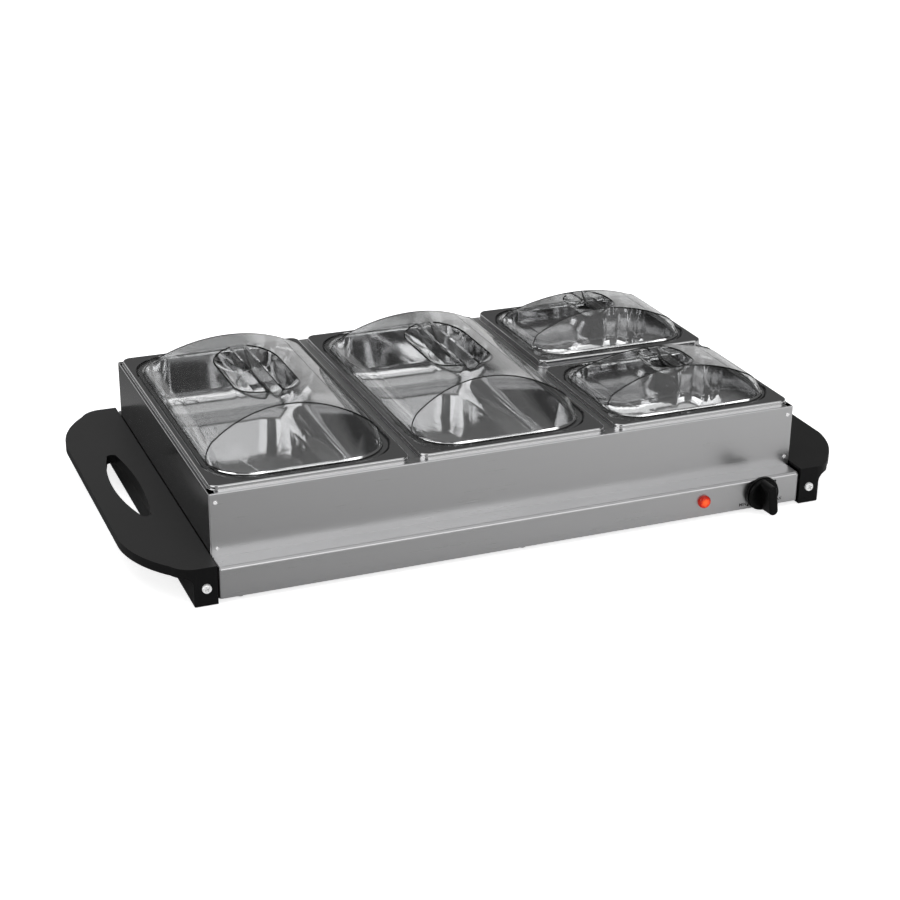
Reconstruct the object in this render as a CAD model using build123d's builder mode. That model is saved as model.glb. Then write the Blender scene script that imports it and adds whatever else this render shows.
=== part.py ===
from build123d import *
import os
from math import cos, radians, sin, sqrt

# Electric food warmer tray (buffet server): a heated stainless base with two moulded end
# handles, a lift-off rectangular frame standing on it, four lift-out pans and four clear lids.
# X runs along the long side, +Y is the back, Z is up.  The origin is on the table under the
# middle of the tray.  Millimetres.

# ---------------------------------------------------------------- driving dimensions
sheet = 0.8                    # stainless sheet of the base, the frame and the pans
bend = 1.1                     # outer radius of a folded edge

# base
base_length = 529.4
base_depth = 353.0
plate_top_z = 31.5             # flat warming plate, also the ledge in front of the frame
fascia_bottom_z = 4.3
tray_edge_radius = 3.0
tray_lip = 9.0                 # lip turned in around the open underside of the base tray

# end handles
handle_inner_x = 265.5
handle_outer_x = 327.5
handle_depth = 354.0
handle_top_z = 34.2
handle_bottom_z = 0.8
grip_thickness = 8.0
leg_width = 19.5               # end block between the base tray and the open side
handle_wall = 2.6
grip_bow_radius = 95.0         # large arcs that run the grip plate's outer edge into its ends
grip_straight_half = 97.0      # half of the straight part of the outer edge
grip_bow_end = (300.0, 165.0)  # where a large arc gives way to the small end arc
grip_end_x = 283.0             # where the small end arc meets the straight front edge
hand_hole_half = 68.0
hand_hole_outer_x = 308.4
hand_hole_inner_x = 285.4
hand_hole_end_x = (290.5, 299.5)

# frame
frame_length = 530.0
frame_depth = 314.0
frame_top_z = 87.0
frame_flange = 11.0            # top flange that the pans' rims stand on
frame_foot = 7.0               # bottom flange that stands on the warming plate
corner_notch = 5.5             # notch between two neighbouring top flanges
rivet_inset = 5.3
rivet_head_radius = 1.7
rivet_shank_radius = 1.2
rivet_edge_distance = 7.7      # from the top and from the bottom edge of the frame
crossbar_width = 22.0
crossbar_height = 12.0

# pans
pan_width = 170.5
pan_depth = 308.0
pan_gap = 7.5                  # between neighbouring pans along X
small_pan_gap = 5.0            # between the two small pans along Y
pan_corner = 9.0
rim_height = 4.5
raised_rim_height = 7.5        # deeper rim of the back small pan, which stands 3 mm higher
rim_radius = 1.4
hem_height = 1.5               # rolled hem around the foot of the rim
hem_reach = 0.8                # how far the hem stands out from the rim
seat_depth = 2.2
pan_floor_z = 35.0
tub_taper = 4.0                # degrees
tub_floor_radius = 22.0
tub_margin = 12.25             # from the pan's outer edge to the tub's mouth, along X
tub_margin_end = 14.0          # and along Y
large_corner = 40.0            # plan radius of the large lids' flanges
small_corner = 36.0            # and of the small lids' flanges

# lids
lid_wall = 2.0
lid_flange_margin = 5.25       # from the pan's outer edge to the lid's flange, along X
lid_flange_margin_end = 7.0    # and along Y
lid_clearance = 1.0            # between the flange and the step of the seat
dome_inset = 5.0               # from the flange's edge to the foot of the dome
bead_width = 1.2
bead_height = 0.25
tub_corner_step = 8.0          # from the lid flange's plan radius to the tub's

# controls, on the front fascia
control_z = 18.4
lamp_x = 169.5
lamp_lens_radius = 5.8
lamp_barrel_radius = 4.4
knob_x = 226.0
knob_radius = 15.3
knob_back_gap = 1.5
knob_skirt = 2.8
knob_body_depth = 6.0
knob_depth = 21.0
knob_bar_width = 10.0
knob_rest_angle = 98.0         # direction of the pointer, from +X towards +Z
shaft_radius = 3.0
shaft_fit = 0.05               # running fit of the shaft in its bush
bush_radius = 4.5

# inside the base
spreader_thickness = 1.0
element_radius = 3.25
element_gap = 0.25
element_bend = 22.0
element_left_x = -238.0
element_right_x = 150.0
element_legs = (38.0, 122.0)   # distance of the two legs of a loop from the middle, along Y
shield_top_z = 15.5
shield_length = 480.0
shield_depth = 282.0
shield_y = 5.0
cover_length = 520.0
cover_depth = 346.0
cover_screw_pitch = (246.0, 341.0)
lead_radius = 1.1
cord_inlet_x = 215.0
cord_hole_radius = 5.5

# ---------------------------------------------------------------- worked-out places
front_y = -base_depth / 2
frame_front_y = -frame_depth / 2
frame_side_x = frame_length / 2
rim_top_z = frame_top_z + rim_height
pan_pitch = pan_width + pan_gap
small_pan_depth = (pan_depth - small_pan_gap) / 2
small_pan_y = (small_pan_depth + small_pan_gap) / 2
crossbar_x = pan_pitch / 2
plate_bottom_z = plate_top_z - sheet
spreader_bottom_z = plate_bottom_z - spreader_thickness
element_z = spreader_bottom_z - element_gap - element_radius
grip_bottom_z = handle_top_z - grip_thickness
handle_front_y = -handle_depth / 2
leg_outer_x = handle_inner_x + leg_width
cover_top_z = fascia_bottom_z
handle_screw_x = handle_inner_x + leg_width / 2 - 0.5
handle_screw_z = 16.2
bracket_tab_y = 168.0

os.makedirs("parts", exist_ok=True)


def finish(builder, name):
    """Label a finished piece and write its STEP file."""
    builder.part.label = name
    export_step(builder.part, f"parts/{name}.step")


def facing_front(x, distance, z):
    """Plane that faces the front (-Y), at a distance in front of the XZ plane."""
    return Plane(origin=(x, -distance, z), x_dir=(1, 0, 0), z_dir=(0, -1, 0))


def facing_back(x, distance, z):
    """Plane that faces the back (+Y), at a distance behind the XZ plane."""
    return Plane(origin=(x, distance, z), x_dir=(-1, 0, 0), z_dir=(0, 1, 0))


# ---------------------------------------------------------------- base tray
# Pressed tray, open underneath: warming plate, four turned-down sides and a lip.
with BuildPart() as base_tray:
    with BuildSketch(Plane.XY.offset(fascia_bottom_z)):
        RectangleRounded(base_length, base_depth, tray_edge_radius)
    extrude(amount=plate_top_z - fascia_bottom_z)
    fillet(base_tray.faces().sort_by(Axis.Z)[-1].edges(), tray_edge_radius)
    offset(amount=-sheet, openings=base_tray.faces().sort_by(Axis.Z)[0])
    with BuildSketch(Plane.XY.offset(fascia_bottom_z)):
        RectangleRounded(base_length, base_depth, tray_edge_radius)
        Rectangle(base_length - 2 * tray_lip, base_depth - 2 * tray_lip, mode=Mode.SUBTRACT)
    extrude(amount=sheet)
    with BuildSketch(facing_front(0, -front_y + 1, control_z)):
        with Locations((lamp_x, 0)):
            Circle(lamp_barrel_radius)
        with Locations((knob_x, 0)):
            Circle(bush_radius)
    extrude(amount=-(sheet + 2), mode=Mode.SUBTRACT)
    with BuildSketch(facing_back(cord_inlet_x, base_depth / 2 + 1, control_z)):
        Circle(cord_hole_radius)
    extrude(amount=-(sheet + 2), mode=Mode.SUBTRACT)
    # holes in the lip for the screws of the bottom cover
    with BuildSketch(Plane.XY.offset(fascia_bottom_z)):
        with GridLocations(*cover_screw_pitch, 3, 2):
            Circle(1.5)
    extrude(amount=sheet, mode=Mode.SUBTRACT)
finish(base_tray, "base_tray")

# ---------------------------------------------------------------- bottom cover
slot_length = 34.0
slot_width = 3.2
with BuildPart() as bottom_cover:
    with BuildSketch(Plane.XY.offset(cover_top_z - sheet)):
        RectangleRounded(cover_length, cover_depth, 5)
        with GridLocations(150, 190, 3, 2):
            with GridLocations(0, 9, 1, 5):
                SlotOverall(slot_length, slot_width, mode=Mode.SUBTRACT)
        with GridLocations(*cover_screw_pitch, 3, 2):
            Circle(1.7, mode=Mode.SUBTRACT)
    extrude(amount=sheet)
finish(bottom_cover, "bottom_cover")

with BuildPart() as cover_screws:
    with BuildSketch(Plane.XY.offset(cover_top_z - sheet - 1.9)):
        with GridLocations(*cover_screw_pitch, 3, 2):
            Circle(2.9)
    extrude(amount=1.9)
    fillet(cover_screws.faces().filter_by(Axis.Z).group_by(Axis.Z)[0].edges(), 0.9)
    with BuildSketch(Plane.XY.offset(cover_top_z - sheet)):
        with GridLocations(*cover_screw_pitch, 3, 2):
            Circle(1.5)
    extrude(amount=7)
    with BuildSketch(Plane.XY.offset(cover_top_z - sheet - 1.9)):
        with GridLocations(*cover_screw_pitch, 3, 2):
            Rectangle(3.2, 0.8)
            Rectangle(0.8, 3.2)
    extrude(amount=0.9, mode=Mode.SUBTRACT)
finish(cover_screws, "cover_screws")


# ---------------------------------------------------------------- end handles
def grip_outline(side):
    """Plan of one handle: the end block and the bowed grip plate, as one closed line."""
    x_bow, y_bow = grip_bow_end
    half = handle_depth / 2
    reach = handle_outer_x - grip_bow_radius
    y_mid = (grip_straight_half + y_bow) / 2
    x_mid = reach + sqrt(grip_bow_radius**2 - (y_mid - grip_straight_half) ** 2)
    Line((side * handle_inner_x, -half), (side * grip_end_x, -half))
    for end in (-1, 1):
        ThreePointArc(
            (side * x_bow, end * y_bow),
            (side * x_mid, end * y_mid),
            (side * handle_outer_x, end * grip_straight_half),
        )
        ThreePointArc(
            (side * grip_end_x, end * half),
            (side * (grip_end_x + 9.5), end * (half - 3.4)),
            (side * x_bow, end * y_bow),
        )
    Line((side * handle_outer_x, -grip_straight_half), (side * handle_outer_x, grip_straight_half))
    Line((side * handle_inner_x, half), (side * grip_end_x, half))
    Line((side * handle_inner_x, -half), (side * handle_inner_x, half))


def hand_hole_outline(side, grow=0.0):
    """Long oval hand hole: two flat arcs along Y joined by round ends."""
    half = hand_hole_half + grow
    near, far = hand_hole_end_x
    for end in (-1, 1):
        ThreePointArc(
            (side * (near - grow), end * (half - 5)),
            (side * (near + far) / 2, end * half),
            (side * (far + grow), end * (half - 5)),
        )
    ThreePointArc(
        (side * (far + grow), -(half - 5)),
        (side * (hand_hole_outer_x + grow), 0),
        (side * (far + grow), half - 5),
    )
    ThreePointArc(
        (side * (near - grow), -(half - 5)),
        (side * (hand_hole_inner_x - grow), 0),
        (side * (near - grow), half - 5),
    )


foot_y = 142.0
foot_size = (8.0, 16.0)
foot_height = 3.0
under_fillet = 7.0
rib_spacing = 44.0


def build_handle(side):
    """Moulded end handle: hollow end block, legs and an open grip plate ribbed below."""
    block_x = side * (handle_inner_x + leg_width / 2)
    section_plane = Plane(origin=(side * handle_inner_x, 0, handle_top_z), x_dir=(side, 0, 0), z_dir=(0, -side, 0))
    block_height = handle_top_z - handle_bottom_z
    with BuildPart() as handle:
        # end block and grip plate with a round inside corner, then cut to the outline
        with BuildSketch(section_plane):
            with BuildLine():
                block_line = FilletPolyline(
                    (0, 0),
                    (handle_outer_x - handle_inner_x, 0),
                    (handle_outer_x - handle_inner_x, -grip_thickness),
                    (leg_width, -grip_thickness),
                    (leg_width, -block_height),
                    (0, -block_height),
                    radius=(0.4, 1.4, 0.8, under_fillet, 0.8, 0.4),
                    close=True,
                )
            make_face()
        extrude(amount=handle_depth / 2, both=True)
        with BuildSketch(Plane.XY.offset(handle_bottom_z)):
            with BuildLine():
                grip_outline(side)
            make_face()
        extrude(amount=block_height, mode=Mode.INTERSECT)
        # hollow of the end block, open towards the base tray
        with BuildSketch(Plane.XY.offset(handle_bottom_z + handle_wall)):
            with Locations((side * (handle_inner_x + (leg_width - handle_wall) / 2), 0)):
                Rectangle(leg_width - handle_wall, handle_depth - 2 * handle_wall)
        extrude(amount=handle_top_z - handle_bottom_z - 2 * handle_wall, mode=Mode.SUBTRACT)
        # hand hole
        with BuildSketch(Plane.XY.offset(grip_bottom_z - under_fillet - 1)):
            with BuildLine():
                hand_hole_outline(side)
            make_face()
        extrude(amount=grip_thickness + under_fillet + 2, mode=Mode.SUBTRACT)
        # ribbed hollows under the outer bar of the grip plate
        with BuildSketch(Plane.XY.offset(grip_bottom_z)):
            with BuildLine():
                grip_outline(side)
            make_face()
            offset(amount=-handle_wall)
            with Locations((side * (handle_inner_x + 20), 0)):
                Rectangle(55, handle_depth, mode=Mode.SUBTRACT)
            with BuildLine():
                hand_hole_outline(side, handle_wall)
            make_face(mode=Mode.SUBTRACT)
            with GridLocations(0, rib_spacing, 1, 7):
                with Locations((side * handle_outer_x, 0)):
                    Rectangle(120, 1.8, mode=Mode.SUBTRACT)
        extrude(amount=grip_thickness - 2.8, mode=Mode.SUBTRACT)
        # screw holes in the front and the back of the block
        for plane in (
            facing_front(0, handle_depth / 2, handle_screw_z),
            facing_back(0, handle_depth / 2, handle_screw_z),
        ):
            with BuildSketch(plane):
                with Locations((side * handle_screw_x * plane.x_dir.X, 0)):
                    Circle(2.2)
            extrude(amount=-handle_wall - 1, mode=Mode.SUBTRACT)
        # pockets for the rubber feet
        with BuildSketch(Plane.XY.offset(handle_bottom_z)):
            with Locations((block_x, foot_y), (block_x, -foot_y)):
                Rectangle(*foot_size)
        extrude(amount=foot_height - handle_bottom_z - 1.0, mode=Mode.SUBTRACT)
    return handle


left_handle = build_handle(-1)
finish(left_handle, "left_handle")
right_handle = build_handle(1)
finish(right_handle, "right_handle")

with BuildPart() as rubber_feet:
    with BuildSketch(Plane.XY):
        with GridLocations(2 * (handle_inner_x + leg_width / 2), 2 * foot_y, 2, 2):
            RectangleRounded(foot_size[0] - 0.4, foot_size[1] - 0.4, 1.5)
    extrude(amount=foot_height - 1.0)
finish(rubber_feet, "rubber_feet")

# Round foot under the middle of the bottom cover, which keeps the long base from sagging.
with BuildPart() as middle_foot:
    with BuildSketch(Plane.XY):
        Circle(12)
    extrude(amount=cover_top_z - sheet)
    fillet(middle_foot.faces().sort_by(Axis.Z)[0].edges(), 1.0)
finish(middle_foot, "middle_foot")

# Steel angle brackets on the ends of the base tray take the handles' screws.
bracket_thickness = 1.2
for side, name in ((-1, "left_end_bracket"), (1, "right_end_bracket")):
    with BuildPart() as end_bracket:
        with BuildSketch(Plane.XY.offset(9)):
            with BuildLine():
                Polyline(
                    (side * (base_length / 2 + 14.5), -bracket_tab_y + bracket_thickness),
                    (side * (base_length / 2 + bracket_thickness), -bracket_tab_y + bracket_thickness),
                    (side * (base_length / 2 + bracket_thickness), bracket_tab_y - bracket_thickness),
                    (side * (base_length / 2 + 14.5), bracket_tab_y - bracket_thickness),
                    (side * (base_length / 2 + 14.5), bracket_tab_y),
                    (side * base_length / 2, bracket_tab_y),
                    (side * base_length / 2, -bracket_tab_y),
                    (side * (base_length / 2 + 14.5), -bracket_tab_y),
                    close=True,
                )
            make_face()
        extrude(amount=15)
        for plane in (
            facing_front(0, bracket_tab_y, handle_screw_z),
            facing_back(0, bracket_tab_y, handle_screw_z),
        ):
            with BuildSketch(plane):
                with Locations((side * handle_screw_x * plane.x_dir.X, 0)):
                    Circle(2.0)
            extrude(amount=-bracket_thickness, mode=Mode.SUBTRACT)
    finish(end_bracket, name)

# Pan-head screws with a cross recess, through the handles' legs into the brackets.
screw_head_radius = 3.9
screw_head_height = 2.6
with BuildPart() as handle_screws:
    for place in (facing_front, facing_back):
        with BuildSketch(place(0, handle_depth / 2, handle_screw_z)):
            with GridLocations(2 * handle_screw_x, 0, 2, 1):
                Circle(screw_head_radius)
        extrude(amount=screw_head_height)
    heads = handle_screws.faces().filter_by(Axis.Y)
    fillet([f.edges()[0] for f in heads if abs(f.center().Y) > handle_depth / 2 + 1], 1.3)
    for place in (facing_front, facing_back):
        with BuildSketch(place(0, handle_depth / 2, handle_screw_z)):
            with GridLocations(2 * handle_screw_x, 0, 2, 1):
                Circle(2.0)
        extrude(amount=-14)
        with BuildSketch(place(0, handle_depth / 2 + screw_head_height, handle_screw_z)):
            with GridLocations(2 * handle_screw_x, 0, 2, 1):
                Rectangle(4.4, 1.0, rotation=20)
                Rectangle(1.0, 4.4, rotation=20)
        extrude(amount=-1.5, mode=Mode.SUBTRACT)
finish(handle_screws, "handle_screws")

# ---------------------------------------------------------------- heating, inside the base
# Aluminium plate that spreads the heat under the warming plate.
with BuildPart() as heat_spreader:
    with BuildSketch(Plane.XY.offset(spreader_bottom_z)):
        RectangleRounded(500, 300, 12)
    extrude(amount=spreader_thickness)
finish(heat_spreader, "heat_spreader")

# Two sheathed tubular elements, each a long U loop lying along X.
for sign, name in ((-1, "front_heating_element"), (1, "rear_heating_element")):
    near, far = element_legs
    with BuildPart() as heating_element:
        with BuildLine():
            element_path = FilletPolyline(
                (element_right_x, sign * near, element_z),
                (element_left_x, sign * near, element_z),
                (element_left_x, sign * far, element_z),
                (element_right_x, sign * far, element_z),
                radius=element_bend,
            )
        with BuildSketch(Plane(origin=element_path @ 0, z_dir=element_path % 0)):
            Circle(element_radius)
        sweep()
    finish(heating_element, name)

with BuildPart() as element_terminals:
    for y in (-element_legs[1], -element_legs[0], element_legs[0], element_legs[1]):
        with BuildSketch(Plane(origin=(element_right_x, y, element_z), z_dir=(1, 0, 0))):
            Circle(2.6)
        extrude(amount=9)
        with BuildSketch(Plane(origin=(element_right_x + 9, y, element_z), z_dir=(1, 0, 0))):
            Circle(1.5)
        extrude(amount=9)
finish(element_terminals, "element_terminals")

# Flat straps hold the legs of the loops up against the spreader.
strap_top_z = element_z - element_radius - 0.1
strap_stations = (-190.0, -70.0, 60.0)
strap_y = sum(element_legs) / 2
with BuildPart() as element_straps:
    with BuildSketch(Plane.XY.offset(strap_top_z - 1.2)):
        for x in strap_stations:
            with Locations((x, strap_y), (x, -strap_y)):
                SlotOverall(104, 13, rotation=90)
                Circle(2.1, mode=Mode.SUBTRACT)
    extrude(amount=1.2)
finish(element_straps, "element_straps")

with BuildPart() as strap_studs:
    with BuildSketch(Plane.XY.offset(strap_top_z - 5)):
        for x in strap_stations:
            with Locations((x, strap_y), (x, -strap_y)):
                Circle(2.0)
    extrude(amount=spreader_bottom_z - strap_top_z + 5)
    with BuildSketch(Plane.XY.offset(strap_top_z - 1.2 - 3.0)):
        for x in strap_stations:
            with Locations((x, strap_y), (x, -strap_y)):
                RegularPolygon(4.0, 6)
    extrude(amount=3.0)
finish(strap_studs, "strap_studs")

# Reflector tray under the elements, standing on the bottom cover.
with BuildPart() as heat_shield:
    with BuildSketch(Plane.XY.offset(cover_top_z)):
        with Locations((0, shield_y)):
            RectangleRounded(shield_length, shield_depth, 6)
    extrude(amount=shield_top_z - cover_top_z)
    fillet(heat_shield.faces().sort_by(Axis.Z)[-1].edges(), 2)
    offset(amount=-0.6, openings=heat_shield.faces().sort_by(Axis.Z)[0])
finish(heat_shield, "heat_shield")

# ---------------------------------------------------------------- controls
fascia_inner = -front_y - sheet
with BuildPart() as thermostat_body:
    with BuildSketch(facing_front(knob_x, fascia_inner, control_z)):
        RectangleRounded(30, 20, 2)
    extrude(amount=-20)
    with BuildSketch(facing_front(knob_x, fascia_inner, control_z)):
        Circle(bush_radius)
    extrude(amount=sheet + 3.0)
    with BuildSketch(facing_front(knob_x, fascia_inner + sheet + 3.0, control_z)):
        Circle(shaft_radius + shaft_fit)
    extrude(amount=-16, mode=Mode.SUBTRACT)
    with BuildSketch(facing_front(knob_x, fascia_inner - 20, control_z)):
        with Locations((-8, 2), (8, 2)):
            Rectangle(6.3, 0.8)
    extrude(amount=-6)
finish(thermostat_body, "thermostat_body")

with BuildPart() as thermostat_nut:
    with BuildSketch(facing_front(knob_x, -front_y, control_z)):
        RegularPolygon(6.4, 6)
        Circle(bush_radius, mode=Mode.SUBTRACT)
    extrude(amount=2.2)
finish(thermostat_nut, "thermostat_nut")

shaft_back = fascia_inner - 11
shaft_length = 25.0
with BuildPart() as thermostat_shaft:
    with BuildSketch(facing_front(knob_x, shaft_back, control_z)):
        Circle(shaft_radius)
    extrude(amount=shaft_length)
    # flat that keys the knob
    with BuildSketch(facing_front(knob_x, -front_y + 4.5, control_z)):
        with Locations(Rotation(0, 0, knob_rest_angle)):
            with Locations((0, 3.0)):
                Rectangle(8, 2.0)
    extrude(amount=shaft_length, mode=Mode.SUBTRACT)
finish(thermostat_shaft, "thermostat_shaft")

# Bar knob: thin skirt, round body, and a bar grip across its face.
knob_back = -front_y + knob_back_gap
with BuildPart() as control_knob:
    with BuildSketch(facing_front(knob_x, knob_back, control_z)):
        Circle(knob_radius)
    extrude(amount=knob_skirt)
    with BuildSketch(facing_front(knob_x, knob_back + knob_skirt, control_z)):
        Circle(knob_radius - 0.7)
    extrude(amount=knob_body_depth - knob_skirt)
    front_rim = control_knob.faces().sort_by(Axis.Y)[0].edges()
    fillet(front_rim, 1.8)
    with BuildSketch(facing_front(knob_x, knob_back + knob_body_depth - 1.9, control_z)):
        with Locations(Rotation(0, 0, knob_rest_angle)):
            SlotOverall(2 * knob_radius - 1.6, knob_bar_width)
    extrude(amount=knob_depth - knob_body_depth + 1.9, taper=2.5)
    fillet(control_knob.faces().sort_by(Axis.Y)[0].edges(), 1.6)
    # hollow back with a hub around the shaft
    with BuildSketch(facing_front(knob_x, knob_back, control_z)):
        Circle(knob_radius - 2.2)
        Circle(5.2, mode=Mode.SUBTRACT)
    extrude(amount=knob_body_depth - 2.4, mode=Mode.SUBTRACT)
    with BuildSketch(facing_front(knob_x, knob_back, control_z)):
        Circle(7.6)
    extrude(amount=2.2, mode=Mode.SUBTRACT)
    with BuildSketch(facing_front(knob_x, knob_back, control_z)):
        Circle(shaft_radius)
    extrude(amount=shaft_back + shaft_length - knob_back, mode=Mode.SUBTRACT)
    # key that fills the shaft's flat
    with BuildSketch(facing_front(knob_x, -front_y + 4.5, control_z)):
        Circle(shaft_radius)
        with Locations(Rotation(0, 0, knob_rest_angle)):
            with Locations((0, 3.0)):
                Rectangle(8, 2.0, mode=Mode.INTERSECT)
    extrude(amount=shaft_back + shaft_length + front_y - 4.5)
finish(control_knob, "control_knob")

# Indicator lamp: domed lens with a barrel through the fascia, held by a push nut.
with BuildPart() as indicator_lens:
    with BuildSketch(facing_front(lamp_x, -front_y, control_z)):
        Circle(lamp_lens_radius)
    extrude(amount=3.6)
    fillet(indicator_lens.faces().sort_by(Axis.Y)[0].edges(), 2.4)
    with BuildSketch(facing_front(lamp_x, -front_y, control_z)):
        Circle(lamp_barrel_radius)
    extrude(amount=-9)
    with BuildSketch(facing_front(lamp_x, -front_y - 9, control_z)):
        Circle(lamp_barrel_radius - 1.1)
    extrude(amount=9.5, mode=Mode.SUBTRACT)
finish(indicator_lens, "indicator_lens")

with BuildPart() as indicator_push_nut:
    with BuildSketch(facing_front(lamp_x, fascia_inner, control_z)):
        Circle(7.4)
        Circle(lamp_barrel_radius, mode=Mode.SUBTRACT)
    extrude(amount=-0.8)
finish(indicator_push_nut, "indicator_push_nut")

with BuildPart() as neon_lamp:
    with BuildSketch(facing_front(lamp_x, -front_y - 18, control_z)):
        Circle(2.8)
    extrude(amount=15.5)
    fillet(neon_lamp.faces().sort_by(Axis.Y)[0].edges(), 2.0)
finish(neon_lamp, "neon_lamp")

# Bushing that lines the mains cord's hole in the back of the base.
with BuildPart() as cord_bushing:
    with BuildSketch(facing_back(cord_inlet_x, base_depth / 2, control_z)):
        Circle(cord_hole_radius + 2.5)
    extrude(amount=2.5)
    fillet(cord_bushing.faces().sort_by(Axis.Y)[-1].edges(), 1.0)
    with BuildSketch(facing_back(cord_inlet_x, base_depth / 2, control_z)):
        Circle(cord_hole_radius)
    extrude(amount=-sheet)
    with BuildSketch(facing_back(cord_inlet_x, base_depth / 2 - sheet, control_z)):
        Circle(cord_hole_radius + 1.6)
    extrude(amount=-2.5)
    with BuildSketch(facing_back(cord_inlet_x, base_depth / 2 + 2.5, control_z)):
        Circle(3.6)
    extrude(amount=-8, mode=Mode.SUBTRACT)
finish(cord_bushing, "cord_bushing")

# Three-way terminal block on the bottom cover behind the heat shield's right end.
block_y = 157.0
block_x = 170.0
with BuildPart() as terminal_block:
    with BuildSketch(Plane.XY.offset(fascia_bottom_z + sheet)):
        with Locations((block_x, block_y)):
            Rectangle(34, 12)
    extrude(amount=5)
    with BuildSketch(Plane.XY.offset(fascia_bottom_z + sheet + 5)):
        with Locations((block_x, block_y)):
            with GridLocations(10.5, 0, 3, 1):
                Rectangle(8, 12)
    extrude(amount=9)
    with BuildSketch(Plane.XY.offset(fascia_bottom_z + sheet + 14)):
        with Locations((block_x, block_y)):
            with GridLocations(10.5, 0, 3, 1):
                Circle(2.2)
    extrude(amount=-5, mode=Mode.SUBTRACT)
finish(terminal_block, "terminal_block")

# Leads: terminal block to thermostat, thermostat to the front element, element to
# element, and the rear element back to the terminal block.
lead_start_x = element_right_x + 18.5
side_lane_x = 253.0
lane_z = 19.5
thermostat_tab_y = front_y + sheet + 26.5
lead_routes = (
    ((block_x + 10.5, block_y - 7.5, 13.5), (block_x + 10.5, 148.0, 18.5), (side_lane_x - 12, 148.0, lane_z),
     (side_lane_x, 132, lane_z), (side_lane_x, -112, lane_z), (244, -132, lane_z),
     (knob_x + 8, -139, 19.9), (knob_x + 8, thermostat_tab_y, 19.9)),
    ((knob_x - 8, thermostat_tab_y, 19.9), (knob_x - 8, -138, 20.5), (200, -124, element_z),
     (lead_start_x, -element_legs[1], element_z)),
    ((lead_start_x, -element_legs[0], element_z), (190, -34, element_z), (196, 0, element_z),
     (190, 34, element_z), (lead_start_x, element_legs[0], element_z)),
    ((lead_start_x, element_legs[1], element_z), (186, 126, 25), (184, 140, 20),
     (block_x, 147.5, 18), (block_x, block_y - 7.5, 13.5)),
)
with BuildPart() as lead_wires:
    for route in lead_routes:
        with BuildLine():
            lead_path = FilletPolyline(*route, radius=3.5)
        with BuildSketch(Plane(origin=lead_path @ 0, z_dir=lead_path % 0)):
            Circle(lead_radius)
        sweep(path=lead_path)
finish(lead_wires, "lead_wires")


# ---------------------------------------------------------------- lift-off frame
def channel_section(section, flange_top, flange_bottom, height):
    """Folded sheet in the open sketch: a web on the local Y axis, flanges towards +X."""
    Rectangle(flange_top, height, align=(Align.MIN, Align.MIN))
    fillet(section.vertices().group_by(Axis.X)[0].sort_by(Axis.Y)[-1], bend)
    with Locations((sheet, sheet)):
        Rectangle(flange_top, height - 2 * sheet, align=(Align.MIN, Align.MIN), mode=Mode.SUBTRACT)
    with Locations((flange_bottom, 0)):
        Rectangle(flange_top, sheet, align=(Align.MIN, Align.MIN), mode=Mode.SUBTRACT)


frame_height = frame_top_z - plate_top_z
rivet_rows = (frame_height / 2 - rivet_edge_distance) * 2
rivet_z = plate_top_z + frame_height / 2
rivet_x = frame_side_x - rivet_inset

for sign, name in ((-1, "frame_front_panel"), (1, "frame_rear_panel")):
    profile_plane = Plane(
        origin=(0, sign * frame_depth / 2, plate_top_z), x_dir=(0, -sign, 0), z_dir=(-sign, 0, 0)
    )
    with BuildPart() as panel:
        with BuildSketch(profile_plane) as panel_section:
            channel_section(panel_section, frame_flange, frame_foot, frame_height)
        extrude(amount=frame_side_x - sheet, both=True)
        # the flanges stop short of the corners
        with BuildSketch(Plane.XY.offset(frame_top_z + 1)):
            with Locations((0, sign * (frame_depth / 2 - sheet - 10))):
                with GridLocations(2 * (frame_side_x - corner_notch / 2), 0, 2, 1):
                    Rectangle(corner_notch, 20)
        extrude(amount=-frame_height - 2, mode=Mode.SUBTRACT)
        with BuildSketch(facing_front(0, -sign * frame_depth / 2, rivet_z)):
            with GridLocations(2 * rivet_x, rivet_rows, 2, 2):
                Circle(rivet_shank_radius)
        extrude(amount=sign * sheet, mode=Mode.SUBTRACT)
    finish(panel, name)

tab_reach = 13.0
side_flange_end = frame_depth / 2 - frame_flange - 0.3
for sign, name in ((-1, "frame_left_panel"), (1, "frame_right_panel")):
    profile_plane = Plane(
        origin=(sign * frame_side_x, 0, plate_top_z), x_dir=(-sign, 0, 0), z_dir=(0, sign, 0)
    )
    tab_y = frame_depth / 2 - sheet
    with BuildPart() as panel:
        with BuildSketch(profile_plane) as panel_section:
            channel_section(panel_section, frame_flange, frame_foot, frame_height)
        extrude(amount=tab_y, both=True)
        with BuildSketch(Plane.XY.offset(frame_top_z + 1)):
            with Locations((sign * (frame_side_x - sheet - 10), 0)):
                with GridLocations(0, side_flange_end + tab_y, 1, 2):
                    Rectangle(20, tab_y - side_flange_end + 0.02)
        extrude(amount=-frame_height - 2, mode=Mode.SUBTRACT)
        # tabs folded in behind the front and the rear panel, joined to them by rivets
        with BuildSketch(Plane.XY.offset(plate_top_z + 1.5)):
            with Locations((sign * (frame_side_x - tab_reach / 2), 0)):
                with GridLocations(0, 2 * tab_y - sheet, 1, 2):
                    Rectangle(tab_reach, sheet)
        extrude(amount=frame_height - 3)
        for end in (-1, 1):
            with BuildSketch(facing_front(sign * rivet_x, -end * tab_y, rivet_z)):
                with GridLocations(0, rivet_rows, 1, 2):
                    Circle(rivet_shank_radius)
            extrude(amount=end * sheet, mode=Mode.SUBTRACT)
    finish(panel, name)

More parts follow.
